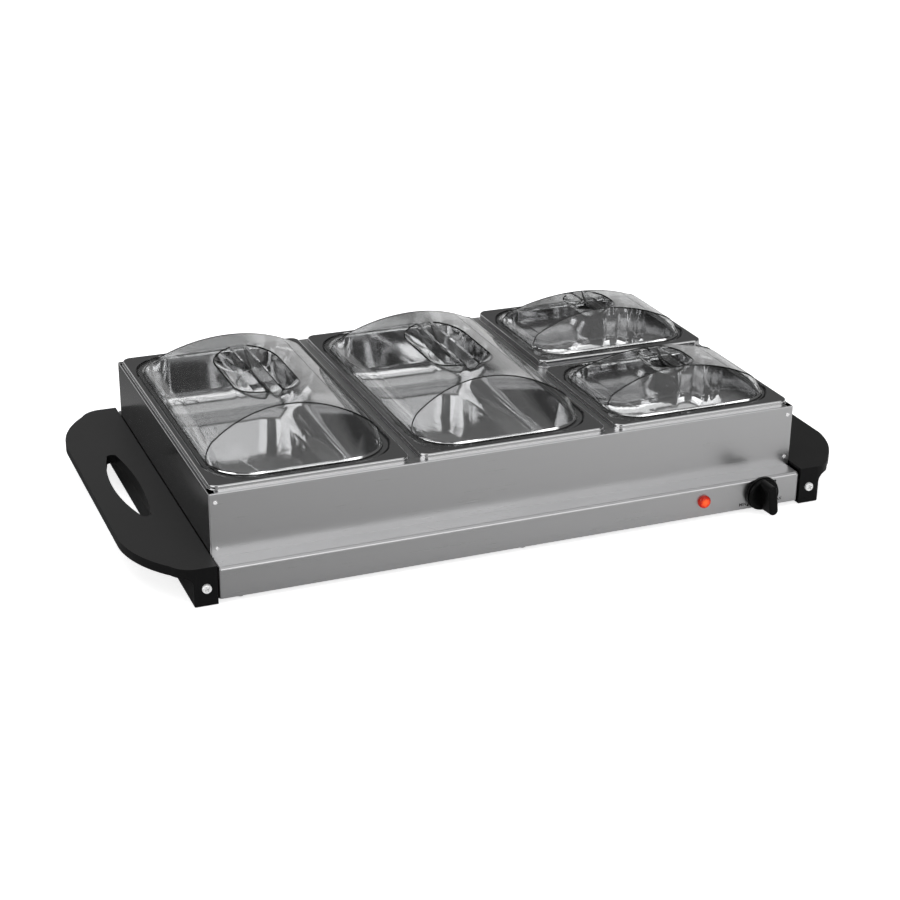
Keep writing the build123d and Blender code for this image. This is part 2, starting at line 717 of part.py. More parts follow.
with BuildPart() as frame_rivets:
    for place in (facing_front, facing_back):
        with BuildSketch(place(0, frame_depth / 2, rivet_z)):
            with GridLocations(2 * rivet_x, rivet_rows, 2, 2):
                Circle(rivet_head_radius)
        extrude(amount=0.6)
    domes = frame_rivets.faces().filter_by(Axis.Y)
    fillet([f.edges()[0] for f in domes if abs(f.center().Y) > frame_depth / 2 + 0.3], 0.45)
    for place in (facing_front, facing_back):
        with BuildSketch(place(0, frame_depth / 2, rivet_z)):
            with GridLocations(2 * rivet_x, rivet_rows, 2, 2):
                Circle(rivet_shank_radius)
        extrude(amount=-2 * sheet)
        with BuildSketch(place(0, frame_depth / 2 - 2 * sheet, rivet_z)):
            with GridLocations(2 * rivet_x, rivet_rows, 2, 2):
                Circle(rivet_head_radius)
        extrude(amount=-0.6)
finish(frame_rivets, "frame_rivets")

# Crossbars that carry the rims between two pans: inverted channels whose ends tuck under
# the flanges of the frame.
bar_length = frame_depth - 2 * frame_flange - 0.4
for x, name in ((-crossbar_x, "left_crossbar"), (crossbar_x, "right_crossbar")):
    with BuildPart() as crossbar:
        with BuildSketch(Plane(origin=(x, 0, frame_top_z), x_dir=(1, 0, 0), z_dir=(0, 1, 0))) as bar_section:
            Rectangle(crossbar_width, crossbar_height, align=(Align.CENTER, Align.MIN))
            fillet(bar_section.vertices().group_by(Axis.Y)[0], bend)
            with Locations((0, sheet)):
                Rectangle(
                    crossbar_width - 2 * sheet, crossbar_height, align=(Align.CENTER, Align.MIN), mode=Mode.SUBTRACT
                )
        extrude(amount=bar_length / 2, both=True)
        with BuildSketch(Plane.XY.offset(frame_top_z - sheet)):
            with Locations((x, 0)):
                with GridLocations(0, bar_length, 1, 2):
                    Rectangle(crossbar_width - 6, 16)
        extrude(amount=-sheet)
    finish(crossbar, name)

short_bar_start = crossbar_x + crossbar_width / 2
short_bar_end = frame_side_x - frame_flange - 0.2
with BuildPart() as short_crossbar:
    bar_plane = Plane(origin=(short_bar_start, 0, frame_top_z), x_dir=(0, 1, 0), z_dir=(1, 0, 0))
    with BuildSketch(bar_plane) as bar_section:
        Rectangle(crossbar_width - 6, crossbar_height - 2, align=(Align.CENTER, Align.MAX))
        fillet(bar_section.vertices().group_by(Axis.Y)[-1], bend)
        with Locations((0, -sheet)):
            Rectangle(
                crossbar_width - 6 - 2 * sheet, crossbar_height, align=(Align.CENTER, Align.MAX), mode=Mode.SUBTRACT
            )
    extrude(amount=short_bar_end - short_bar_start)
    with BuildSketch(Plane.XY.offset(frame_top_z - sheet)):
        with Locations((short_bar_end, 0)):
            Rectangle(16, crossbar_width - 12)
    extrude(amount=-sheet)
finish(short_crossbar, "short_crossbar")


# ---------------------------------------------------------------- pans
def build_pan(x, y, depth, rim, lid_corner):
    """Stamped pan: turned-down rim, seat for the lid's flange, and a tapered tub."""
    top_z = frame_top_z + rim
    seat_z = top_z - seat_depth
    floor_z = pan_floor_z + rim - rim_height
    mouth = (pan_width - 2 * tub_margin, depth - 2 * tub_margin_end)
    seat = (
        pan_width - 2 * lid_flange_margin + 2 * lid_clearance,
        depth - 2 * lid_flange_margin_end + 2 * lid_clearance,
    )
    seat_corner = lid_corner + lid_clearance
    tub_corner = lid_corner - tub_corner_step

    def tub(inset):
        """Solid tapered tub, its walls and its floor moved inwards by the inset."""
        with BuildPart() as shape:
            with BuildSketch(Plane(origin=(x, y, seat_z))):
                RectangleRounded(mouth[0] - 2 * inset, mouth[1] - 2 * inset, tub_corner - inset)
            extrude(amount=-(seat_z - floor_z - inset), taper=tub_taper)
            fillet(shape.faces().sort_by(Axis.Z)[0].edges(), tub_floor_radius - inset)
        return shape

    rim_size = (pan_width - 2 * hem_reach, depth - 2 * hem_reach)
    with BuildPart() as pan:
        with BuildSketch(Plane(origin=(x, y, frame_top_z))):
            RectangleRounded(*rim_size, pan_corner - hem_reach)
        extrude(amount=rim)
        fillet(pan.faces().sort_by(Axis.Z)[-1].edges(), rim_radius)
        offset(amount=-sheet, openings=pan.faces().sort_by(Axis.Z)[0])
        with BuildPart(mode=Mode.PRIVATE) as hem:
            with BuildSketch(Plane(origin=(x, y, frame_top_z))):
                RectangleRounded(pan_width, depth, pan_corner)
            extrude(amount=hem_height)
            fillet(hem.faces().sort_by(Axis.Z)[-1].edges(), 0.7)
            with BuildSketch(Plane(origin=(x, y, frame_top_z))):
                RectangleRounded(*[side - sheet for side in rim_size], pan_corner - hem_reach - sheet / 2)
            extrude(amount=hem_height, mode=Mode.SUBTRACT)
        add(hem.part)
        # step down to the seat
        with BuildSketch(Plane(origin=(x, y, seat_z - sheet))):
            RectangleRounded(seat[0] + 2 * sheet, seat[1] + 2 * sheet, seat_corner + sheet)
        extrude(amount=seat_depth)
        with BuildSketch(Plane(origin=(x, y, seat_z))):
            RectangleRounded(*seat, seat_corner)
        extrude(amount=seat_depth + 1, mode=Mode.SUBTRACT)
        add(tub(0).part)
        add(tub(sheet).part, mode=Mode.SUBTRACT)
    return pan


pan_places = {
    "left": (-pan_pitch, 0, pan_depth, rim_height, large_corner),
    "middle": (0, 0, pan_depth, rim_height, large_corner),
    "rear_small": (pan_pitch, small_pan_y, small_pan_depth, raised_rim_height, small_corner),
    "front_small": (pan_pitch, -small_pan_y, small_pan_depth, rim_height, small_corner),
}
for place, dimensions in pan_places.items():
    finish(build_pan(*dimensions), f"{place}_pan")


# ---------------------------------------------------------------- lids
def build_lid(x, y, depth, rim, flange_corner, crest, end_depth, end_lean, turn_radius, grip):
    """Clear moulded lid: flange, barrel-shaped dome with sloping ends, and two finger recesses."""
    seat_z = frame_top_z + rim - seat_depth
    foot_z = seat_z + lid_wall
    flange = (pan_width - 2 * lid_flange_margin, depth - 2 * lid_flange_margin_end)
    half_width = flange[0] / 2 - dome_inset
    half_length = flange[1] / 2 - dome_inset
    slope = sqrt(crest**2 + end_depth**2) / crest
    scoop_straight, scoop_end, scoop_radius, scoop_lift, bar_width = grip

    def foot_outline(inset):
        """Half width, half length and corner radius of the dome's foot."""
        length = half_length - inset * slope
        return half_width - inset, length, length - (half_length - end_depth + end_lean) + 0.4 * inset

    def dome(inset):
        """Solid dome, its walls moved inwards by the inset."""
        width, length, corner = foot_outline(inset)
        rise = crest - inset
        crest_half = half_length - end_depth - 0.3 * inset
        # the section across: a shallow arch that turns down into the sides with a smaller radius
        turn = turn_radius - inset
        turn_x = width - turn
        arch = (turn_x**2 + rise**2 - turn**2) / (2 * (rise - turn))
        meet_x = turn_x * arch / (arch - turn)
        meet_z = rise - arch + (arch - rise) * arch / (arch - turn)
        middle_x, middle_z = turn_x + turn * sin(radians(62)), turn * cos(radians(62))
        arch_x, arch_z = meet_x / 2, rise - arch + sqrt(arch**2 - meet_x**2 / 4)
        with BuildPart() as shell:
            with BuildSketch(Plane(origin=(x, y, foot_z), x_dir=(1, 0, 0), z_dir=(0, -1, 0))):
                with BuildLine():
                    ThreePointArc((-width, 0), (-middle_x, middle_z), (-meet_x, meet_z))
                    ThreePointArc((-meet_x, meet_z), (-arch_x, arch_z), (0, rise))
                    ThreePointArc((0, rise), (arch_x, arch_z), (meet_x, meet_z))
                    ThreePointArc((meet_x, meet_z), (middle_x, middle_z), (width, 0))
                    Line((width, 0), (-width, 0))
                make_face()
            extrude(amount=length, both=True)
            # the crest stops at two leaning planes
            with BuildSketch(Plane(origin=(x, y, foot_z), x_dir=(0, 1, 0), z_dir=(1, 0, 0))):
                with BuildLine():
                    Polyline(
                        (-(length - corner), 0), (-crest_half, rise), (crest_half, rise), (length - corner, 0),
                        close=True,
                    )
                make_face()
            extrude(amount=width + 1, both=True, mode=Mode.INTERSECT)
            # from there straight slopes run out to the rounded foot
            for end in (-1, 1):
                face = shell.faces().sort_by(Axis.Y)[-1 if end > 0 else 0]
                arcs = face.edges().filter_by(lambda e: e.geom_type != GeomType.LINE).sort_by(Axis.X)
                start, front = length - corner, y + end * length
                arc_middle = corner * sqrt(0.5)
                foot = [
                    Edge.make_three_point_arc(
                        (x - width, y + end * start, foot_z),
                        (x - width + corner - arc_middle, y + end * (start + arc_middle), foot_z),
                        (x - width + corner, front, foot_z),
                    ),
                    Edge.make_line((x - width + corner, front, foot_z), (x, front, foot_z)),
                    Edge.make_line((x, front, foot_z), (x + width - corner, front, foot_z)),
                    Edge.make_three_point_arc(
                        (x + width - corner, front, foot_z),
                        (x + width - corner + arc_middle, y + end * (start + arc_middle), foot_z),
                        (x + width, y + end * start, foot_z),
                    ),
                ]
                base = Edge.make_line((x + width, y + end * start, foot_z), (x - width, y + end * start, foot_z))
                slopes = [
                    Face.make_surface_from_curves(arc if (arc @ 0).X < (arc @ 1).X else arc.reversed(), low)
                    for arc, low in zip(arcs, foot)
                ]
                add(Solid(Shell([face, Face(Wire([*foot, base])), *slopes])))
        return shell

    outer = dome(0.0)
    inner = dome(lid_wall)

    def scoops(inset):
        """Two long rounded finger scoops, one each side of the lifting bar."""
        axis = Plane(origin=(x, y, foot_z + crest + scoop_lift), x_dir=(0, 1, 0), z_dir=(1, 0, 0))
        reach, turned = scoop_radius + inset, scoop_end + inset
        low, slant = reach - turned, turned * sqrt(0.5)
        with BuildPart() as pair:
            with BuildSketch(axis):
                with BuildLine():
                    end = scoop_straight + turned
                    ThreePointArc(
                        (-end, -low), (-scoop_straight - slant, -low - slant), (-scoop_straight, -reach)
                    )
                    Line((-scoop_straight, -reach), (scoop_straight, -reach))
                    ThreePointArc((scoop_straight, -reach), (scoop_straight + slant, -low - slant), (end, -low))
                    Polyline((end, -low), (end, 0), (-end, 0), (-end, -low))
                make_face()
            revolve(axis=Axis(axis.origin, (0, 1, 0)))
            with Locations(axis.origin):
                Box(bar_width - 2 * inset, 4 * end, 4 * reach, mode=Mode.SUBTRACT)
        return pair

    with BuildPart() as recess_walls:
        add(scoops(lid_wall).part)
        add(outer.part, mode=Mode.INTERSECT)

    with BuildPart() as lid:
        with BuildSketch(Plane(origin=(x, y, seat_z))):
            RectangleRounded(*flange, flange_corner)
        extrude(amount=lid_wall)
        add(outer.part)
        with BuildSketch(Plane(origin=(x, y, foot_z))):
            width, length, corner = foot_outline(lid_wall)
            RectangleRounded(2 * width, 2 * length, corner)
        extrude(amount=-lid_wall - 1, mode=Mode.SUBTRACT)
        add(inner.part, mode=Mode.SUBTRACT)
        # the flange rests on a narrow bead along its edge
        with BuildSketch(Plane(origin=(x, y, seat_z))):
            RectangleRounded(*[side - 2 * bead_width for side in flange], flange_corner - bead_width)
        extrude(amount=bead_height, mode=Mode.SUBTRACT)
        add(recess_walls.part)
        add(scoops(0.0).part, mode=Mode.SUBTRACT)
    return lid


large_lid = dict(crest=35.1, end_depth=53.4, end_lean=17, turn_radius=18, grip=(28, 36, 38, 22, 15))
small_lid = dict(crest=26.5, end_depth=37, end_lean=11, turn_radius=13, grip=(6, 22, 28, 16, 13))
for place, (x, y, depth, rim, flange_corner) in pan_places.items():
    shape = large_lid if depth == pan_depth else small_lid
    finish(build_lid(x, y, depth, rim, flange_corner, **shape), f"{place}_lid")
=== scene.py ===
from math import cos, pi, radians, sin

import bmesh
import bpy
from mathutils import Matrix


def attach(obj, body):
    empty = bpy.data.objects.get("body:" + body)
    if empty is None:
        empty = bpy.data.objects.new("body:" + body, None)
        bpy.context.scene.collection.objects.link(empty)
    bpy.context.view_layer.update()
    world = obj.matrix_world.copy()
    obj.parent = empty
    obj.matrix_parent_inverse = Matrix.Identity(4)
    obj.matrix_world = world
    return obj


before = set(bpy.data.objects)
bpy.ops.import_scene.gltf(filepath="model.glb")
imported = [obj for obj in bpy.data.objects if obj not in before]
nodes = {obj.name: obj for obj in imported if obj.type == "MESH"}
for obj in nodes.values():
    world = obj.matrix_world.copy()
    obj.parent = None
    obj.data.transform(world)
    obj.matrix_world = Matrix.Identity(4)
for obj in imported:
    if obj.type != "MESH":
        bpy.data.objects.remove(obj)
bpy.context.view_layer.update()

# ---------------------------------------------------------------- table
# A wide white table that glows a little. Seen in mirrors it does not glow, and its colour is
# painted grey, darker to the left and close behind the tray and white again farther back: a
# painted reflection that shades the steel.
table_reach = 40.0
table_albedo = 0.84
table_white = (table_albedo, table_albedo, table_albedo)
table_glow = 0.74
mirrored_low, mirrored_high = 0.04, 0.84
toward_right_front = (0.46, -0.45, 0.0)
shading_half_span = 0.4
far_white_start, far_white_end = 0.42, 0.75


def plug(tree, value, socket):
    """Links a socket to another, or sets a plain value on it."""
    if isinstance(value, bpy.types.NodeSocket):
        tree.links.new(value, socket)
    else:
        socket.default_value = value


def math_in(tree, operation, *values):
    """A math node's result."""
    node = tree.nodes.new("ShaderNodeMath")
    node.operation = operation
    for socket, value in zip(node.inputs, values):
        plug(tree, value, socket)
    return node.outputs[0]


def spread(tree, value, low, high, start=0.0, end=1.0):
    """Maps the values from start to end onto the range from low to high."""
    node = tree.nodes.new("ShaderNodeMapRange")
    tree.links.new(value, node.inputs["Value"])
    plug(tree, start, node.inputs["From Min"])
    plug(tree, end, node.inputs["From Max"])
    plug(tree, low, node.inputs["To Min"])
    plug(tree, high, node.inputs["To Max"])
    return node.outputs["Result"]


def new_finish(name, colour, metallic=0.0, roughness=0.5):
    """A material, its node tree and its shader, with the plain values set."""
    material = bpy.data.materials.new(name)
    material.use_nodes = True
    shader = material.node_tree.nodes["Principled BSDF"]
    shader.inputs["Base Color"].default_value = (*colour, 1)
    shader.inputs["Metallic"].default_value = metallic
    shader.inputs["Roughness"].default_value = roughness
    return material, material.node_tree, shader


table_mesh = bmesh.new()
bmesh.ops.create_circle(table_mesh, cap_ends=True, segments=96, radius=table_reach)
table_data = bpy.data.meshes.new("table_top")
table_mesh.to_mesh(table_data)
table_mesh.free()
table = bpy.data.objects.new("table_top", table_data)
bpy.context.scene.collection.objects.link(table)

table_paint, paint_tree, paint_shader = new_finish("table_paint", table_white, roughness=0.9)
paint_shader.inputs["Specular IOR Level"].default_value = 0.0
paint_shader.inputs["Emission Color"].default_value = (1, 1, 1, 1)
# painted reflection: the glow is switched off for mirrors, and below, the colour that mirrors see
# is painted grey
seen_mirrored = paint_tree.nodes.new("ShaderNodeLightPath").outputs["Is Glossy Ray"]
paint_tree.links.new(
    math_in(paint_tree, "MULTIPLY_ADD", seen_mirrored, -table_glow, table_glow),
    paint_shader.inputs["Emission Strength"],
)
table_point = paint_tree.nodes.new("ShaderNodeTexCoord").outputs["Object"]
across = paint_tree.nodes.new("ShaderNodeVectorMath")
across.operation = "DOT_PRODUCT"
across.inputs[1].default_value = toward_right_front
paint_tree.links.new(table_point, across.inputs[0])
near_grey = spread(
    paint_tree,
    across.outputs["Value"],
    mirrored_low,
    mirrored_high,
    -shading_half_span,
    shading_half_span,
)
table_split = paint_tree.nodes.new("ShaderNodeSeparateXYZ")
paint_tree.links.new(table_point, table_split.inputs[0])
far_grey = spread(
    paint_tree, table_split.outputs["Y"], 0.0, table_albedo, far_white_start, far_white_end
)
# painted reflection: the grey colour that only mirrors see, in place of the white
painted_mirror_tone = paint_tree.nodes.new("ShaderNodeMix")
painted_mirror_tone.data_type = "RGBA"
painted_mirror_tone.inputs["A"].default_value = (*table_white, 1)
paint_tree.links.new(seen_mirrored, painted_mirror_tone.inputs["Factor"])
paint_tree.links.new(
    math_in(paint_tree, "MAXIMUM", near_grey, far_grey), painted_mirror_tone.inputs["B"]
)
paint_tree.links.new(painted_mirror_tone.outputs["Result"], paint_shader.inputs["Base Color"])
table_data.materials.append(table_paint)

# ---------------------------------------------------------------- studio room
# A large soft ceiling lights the table, and two tall light panels with a dark gap between
# them stand in front.  Behind the tray the room is dim, which is what level steel mirrors.
dim_room = 0.10
ceiling_glow = 1.35
panel_glow = 2.2
clear_glow = 0.8
horizon_glow = 0.55
upper_right_loss = 0.28
mirrored_ceiling_loss = 0.5

room = bpy.data.worlds.new("studio_room")
room.use_nodes = True
bpy.context.scene.world = room
room_tree = room.node_tree


def room_math(operation, *values):
    """A math node of the room."""
    return math_in(room_tree, operation, *values)


def ramp_in(tree, value, stops):
    """A ramp with (position, tone) stops; a tone is a grey or three colour values."""
    ramp = tree.nodes.new("ShaderNodeValToRGB")
    tree.links.new(value, ramp.inputs[0])
    elements = ramp.color_ramp.elements
    while len(elements) < len(stops):
        elements.new(0.5)
    for element, (position, tone) in zip(elements, stops):
        element.position = position
        element.color = (*tone, 1) if isinstance(tone, tuple) else (tone, tone, tone, 1)
    return ramp.outputs[0]


# the way looked: its height runs from 0 level to 1 straight up, and its share of a turn is
# 0.5 to the front, less to the left, and 0 or 1 to the back
looking = room_tree.nodes.new("ShaderNodeTexCoord")
split = room_tree.nodes.new("ShaderNodeSeparateXYZ")
room_tree.links.new(looking.outputs["Generated"], split.inputs[0])
height = split.outputs["Z"]
toward_front = room_math("MULTIPLY", split.outputs["Y"], -1)
heading = room_math("ARCTAN2", split.outputs["X"], toward_front)
turn_share = room_math("MULTIPLY_ADD", heading, 0.5 / pi, 0.5)

ceiling = ramp_in(room_tree, height, [(0.0, 0.0), (0.76, 0.0), (0.84, 1.0)])
panels_around = ramp_in(
    room_tree,
    turn_share,
    [
        (0.0, 0.0), (0.205, 0.0), (0.215, 1.0), (0.362, 1.0), (0.37, 0.0),
        (0.463, 0.0), (0.471, 1.0), (0.60, 0.8), (0.64, 0.0),
    ],
)
panels_up = ramp_in(
    room_tree,
    height,
    [
        (0.0, 0.0), (0.01, 0.22), (0.228, 0.22), (0.242, 1.0),
        (0.44, 1.0), (0.48, 0.78), (0.66, 0.78), (0.72, 0.0),
    ],
)
panels = room_math("MULTIPLY", panels_around, panels_up)
# the right part of the front panel is weaker in its upper half
right_part = ramp_in(room_tree, turn_share, [(0.0, 0.0), (0.528, 0.0), (0.536, 1.0), (1.0, 1.0)])
upper_half = ramp_in(room_tree, height, [(0.0, 0.0), (0.44, 0.0), (0.48, 1.0), (1.0, 1.0)])
upper_right = room_math("MULTIPLY", right_part, upper_half)
panels = room_math(
    "MULTIPLY", panels, room_math("MULTIPLY_ADD", upper_right, -upper_right_loss, 1)
)
# a low glow behind the tray
behind = ramp_in(
    room_tree, turn_share, [(0.0, 1.0), (0.25, 1.0), (0.3, 0.0), (0.7, 0.0), (0.75, 1.0)]
)
low_band = ramp_in(room_tree, height, [(0.0, 0.0), (0.01, 1.0), (0.2, 1.0), (0.3, 0.0)])
horizon = room_math("MULTIPLY", behind, low_band)
backdrop = room_math("MULTIPLY_ADD", horizon, horizon_glow, dim_room)
# mirrors see a weaker ceiling; straight through a clear piece the room is about as white as
# the table, and where it is seen past the table's edge it is white
ray = room_tree.nodes.new("ShaderNodeLightPath")
mirrored = room_math("MINIMUM", ray.outputs["Glossy Depth"], 1)
passed = room_math("MINIMUM", ray.outputs["Transmission Depth"], 1)
spread_out = room_math("MINIMUM", ray.outputs["Diffuse Depth"], 1)
seen_sharp = room_math("MULTIPLY", mirrored, room_math("SUBTRACT", 1, spread_out))
ceiling = room_math(
    "MULTIPLY", ceiling, room_math("MULTIPLY_ADD", seen_sharp, -mirrored_ceiling_loss, 1)
)
brightness = room_math("MULTIPLY_ADD", ceiling, ceiling_glow, backdrop)
brightness = room_math("MULTIPLY_ADD", panels, panel_glow, brightness)
clear_share = room_math("MULTIPLY", passed, room_math("SUBTRACT", 1, mirrored))
brightness = room_math("MULTIPLY_ADD", clear_share, clear_glow, brightness)
brightness = room_math("MAXIMUM", brightness, ray.outputs["Is Camera Ray"])
room_tree.links.new(brightness, room_tree.nodes["Background"].inputs["Strength"])
room_tree.nodes["Background"].inputs["Color"].default_value = (1, 1, 1, 1)

# ---------------------------------------------------------------- camera
# The camera stands left of the tray and looks down on it with a short telephoto lens.  Its
# lens and sensor width are in millimetres.
camera_place = (-0.5996, -1.4712, 0.7063)
camera_yaw = radians(22.281)
camera_pitch = radians(-23.316)
camera_roll = radians(0.643)
camera_lens = 75.595
sensor_width = 36.0

camera_data = bpy.data.cameras.new("camera")
camera_data.lens = camera_lens
camera_data.sensor_width = sensor_width
camera_data.clip_start, camera_data.clip_end = 0.05, 200.0
camera = bpy.data.objects.new("camera", camera_data)
camera.matrix_world = (
    Matrix.Translation(camera_place)
    @ Matrix.Rotation(-camera_yaw, 4, "Z")
    @ Matrix.Rotation(pi / 2 + camera_pitch, 4, "X")
    @ Matrix.Rotation(camera_roll, 4, "Z")
)
bpy.context.scene.collection.objects.link(camera)
bpy.context.scene.camera = camera
bpy.context.scene.view_settings.view_transform = "Standard"

# ---------------------------------------------------------------- base tray
# The base is folded from brushed stainless sheet: the flat warming plate on top, the fascia
# in front and the skirts, with the brushing along the tray's length.  Handling has left
# faint smudges that only show in the gloss.
stainless_tone = (0.60, 0.60, 0.605)
shadow_share = 0.55
grain_height = 0.00002
smudge_share = 0.45
smudge_stretch = (9, 9, 9)


def object_point(tree, stretch=(1, 1, 1), centre=(0, 0, 0)):
    """The point on the piece, measured from a centre, stretched for the texture."""
    point = tree.nodes.new("ShaderNodeTexCoord")
    shift = tree.nodes.new("ShaderNodeMapping")
    shift.inputs["Location"].default_value = [-c * s for c, s in zip(centre, stretch)]
    shift.inputs["Scale"].default_value = stretch
    tree.links.new(point.outputs["Object"], shift.inputs["Vector"])
    return shift.outputs[0]


def noise_in(tree, point, scale, detail=2.0, rough=0.5):
    """A noise texture's factor."""
    noise = tree.nodes.new("ShaderNodeTexNoise")
    noise.inputs["Detail"].default_value = detail
    noise.inputs["Roughness"].default_value = rough
    plug(tree, scale, noise.inputs["Scale"])
    tree.links.new(point, noise.inputs["Vector"])
    return noise.outputs["Fac"]


def bump_in(tree, height, strength, distance):
    """The normal of a surface with bumps of a height in metres."""
    bump = tree.nodes.new("ShaderNodeBump")
    bump.inputs["Distance"].default_value = distance
    plug(tree, strength, bump.inputs["Strength"])
    tree.links.new(height, bump.inputs["Height"])
    return bump.outputs[0]


def tint(tree, factor, colour):
    """Shades the shader's colour by a tone that varies over the surface."""
    blend = tree.nodes.new("ShaderNodeMix")
    blend.data_type = "RGBA"
    blend.inputs["A"].default_value = (*[c * shadow_share for c in colour], 1)
    blend.inputs["B"].default_value = (*colour, 1)
    tree.links.new(factor, blend.inputs["Factor"])
    tree.links.new(blend.outputs["Result"], tree.nodes["Principled BSDF"].inputs["Base Color"])


def start_effect(name, points, values):
    """An empty effect, with its inputs, that puts out a tone, a roughness and a normal."""
    effect = bpy.data.node_groups.new(name, "ShaderNodeTree")
    for label in points:
        effect.interface.new_socket(label, in_out="INPUT", socket_type="NodeSocketVector")
    for label, value in values.items():
        socket = effect.interface.new_socket(label, in_out="INPUT", socket_type="NodeSocketFloat")
        socket.default_value = value
    for label, kind in (("Tone", "Float"), ("Roughness", "Float"), ("Normal", "Vector")):
        effect.interface.new_socket(label, in_out="OUTPUT", socket_type="NodeSocket" + kind)
    taken = effect.nodes.new("NodeGroupInput")
    given = effect.nodes.new("NodeGroupOutput")
    return effect, taken, given


def place_effect(tree, effect, colour, points, values):
    """Puts an effect in a material, with the material's own points and values."""
    placed = tree.nodes.new("ShaderNodeGroup")
    placed.node_tree = effect
    for label, point in points.items():
        tree.links.new(point, placed.inputs[label])
    for label, value in values.items():
        placed.inputs[label].default_value = value
    tint(tree, placed.outputs["Tone"], colour)
    shader = tree.nodes["Principled BSDF"]
    for label in ("Roughness", "Normal"):
        tree.links.new(placed.outputs[label], shader.inputs[label])


brushing, brushing_in, brushing_out = start_effect(
    "brushed_grain",
    ("Grain Point", "Smudge Point"),
    {"Smooth": 0.22, "Coarse": 0.36, "Depth": 0.1, "Shade": 0.9},
)
grain = noise_in(brushing, brushing_in.outputs["Grain Point"], 1.0, 4.0, 0.65)
smudge = noise_in(brushing, brushing_in.outputs["Smudge Point"], 1.0, 3.0, 0.55)
brushing.links.new(
    spread(brushing, grain, brushing_in.outputs["Shade"], 1.0), brushing_out.inputs["Tone"]
)
brushing.links.new(
    spread(
        brushing,
        math_in(brushing, "MULTIPLY_ADD", smudge, smudge_share, grain),
        brushing_in.outputs["Smooth"],
        brushing_in.outputs["Coarse"],
    ),
    brushing_out.inputs["Roughness"],
)
brushing.links.new(
    bump_in(brushing, grain, brushing_in.outputs["Depth"], grain_height),
    brushing_out.inputs["Normal"],
)


def brushed_steel(name, colour, stretch, roughness=(0.2, 0.34)):
    """Brushed sheet or bar; the stretch is small along the brushing."""
    smooth, coarse = roughness
    material, tree, _ = new_finish(name, colour, 1.0, smooth)
    place_effect(
        tree,
        brushing,
        colour,
        {
            "Grain Point": object_point(tree, stretch),
            "Smudge Point": object_point(tree, smudge_stretch),
        },
        {"Smooth": smooth, "Coarse": coarse, "Depth": 0.1, "Shade": 0.9},
    )
    return material


def dress(names, material):
    """Gives CAD nodes their finish."""
    for name in names:
        data = nodes[name].data
        data.materials.clear()
        data.materials.append(material)


dress(["base_tray"], brushed_steel("base_steel", stainless_tone, (14, 900, 900)))

# ---------------------------------------------------------------- bottom cover
# Galvanised sheet closes the underside, pressed with vent slots and held by six plated
# self-tapping screws.  The heat shield inside is cut from the same sheet.
ripple_height = 0.0002
ripples_per_patch = 1.7


def plated(name, colour, patch_scale, tones, roughness=(0.3, 0.5), depth=0.05, metallic=1.0):
    """Plated or galvanised metal with soft patches in tone and gloss."""
    material, tree, shader = new_finish(name, colour, metallic, roughness[0])
    patches = tree.nodes.new("ShaderNodeTexVoronoi")
    patches.inputs["Scale"].default_value = patch_scale
    tree.links.new(object_point(tree), patches.inputs["Vector"])
    patch = tree.nodes.new("ShaderNodeSeparateColor")
    tree.links.new(patches.outputs["Color"], patch.inputs[0])
    tint(tree, spread(tree, patch.outputs[0], *tones), colour)
    tree.links.new(spread(tree, patch.outputs[1], *roughness), shader.inputs["Roughness"])
    ripple = noise_in(tree, object_point(tree), patch_scale * ripples_per_patch)
    tree.links.new(bump_in(tree, ripple, depth, ripple_height), shader.inputs["Normal"])
    return material


galvanised = plated("galvanised_sheet", (0.52, 0.54, 0.56), 160, (0.6, 1.0))
dress(["bottom_cover", "heat_shield"], galvanised)
bright_zinc = plated(
    "bright_zinc", (0.78, 0.79, 0.80), 900, (0.8, 1.0), roughness=(0.16, 0.26), depth=0.02
)
dress(["cover_screws"], bright_zinc)

# ---------------------------------------------------------------- end handles
# Each end carries a black moulded handle with a hand hole, satin with a fine spark-eroded
# texture. Its faces looking up are painted lighter grey, a painted highlight for the light
# falling on the tops, stronger on the left handle. Steel brackets inside take the pan-head
# screws.
flow_scale = 14.0
pit_height = 0.00006
lit_top_start, lit_top_full = 0.5, 0.95

moulding, moulding_in, moulding_out = start_effect(
    "moulded_texture",
    ("Point",),
    {"Fineness": 900.0, "Smooth": 0.3, "Coarse": 0.45, "Depth": 0.3},
)
mould_point = moulding_in.outputs["Point"]
pits = noise_in(moulding, mould_point, moulding_in.outputs["Fineness"], 2.0, 0.6)
flow = noise_in(moulding, mould_point, flow_scale)
moulding.links.new(spread(moulding, flow, 0.75, 1.0), moulding_out.inputs["Tone"])
moulding.links.new(
    spread(moulding, flow, moulding_in.outputs["Smooth"], moulding_in.outputs["Coarse"]),
    moulding_out.inputs["Roughness"],
)
moulding.links.new(
    bump_in(moulding, pits, moulding_in.outputs["Depth"], pit_height),
    moulding_out.inputs["Normal"],
)


def moulded(name, colour, fineness, roughness, depth, specular=0.5):
    """Moulded plastic or rubber with the fine texture of its mould."""
    smooth, coarse = roughness
    material, tree, shader = new_finish(name, colour, 0.0, smooth)
    place_effect(
        tree,
        moulding,
        colour,
        {"Point": object_point(tree)},
        {"Fineness": fineness, "Smooth": smooth, "Coarse": coarse, "Depth": depth},
    )
    shader.inputs["Specular IOR Level"].default_value = specular
    return material


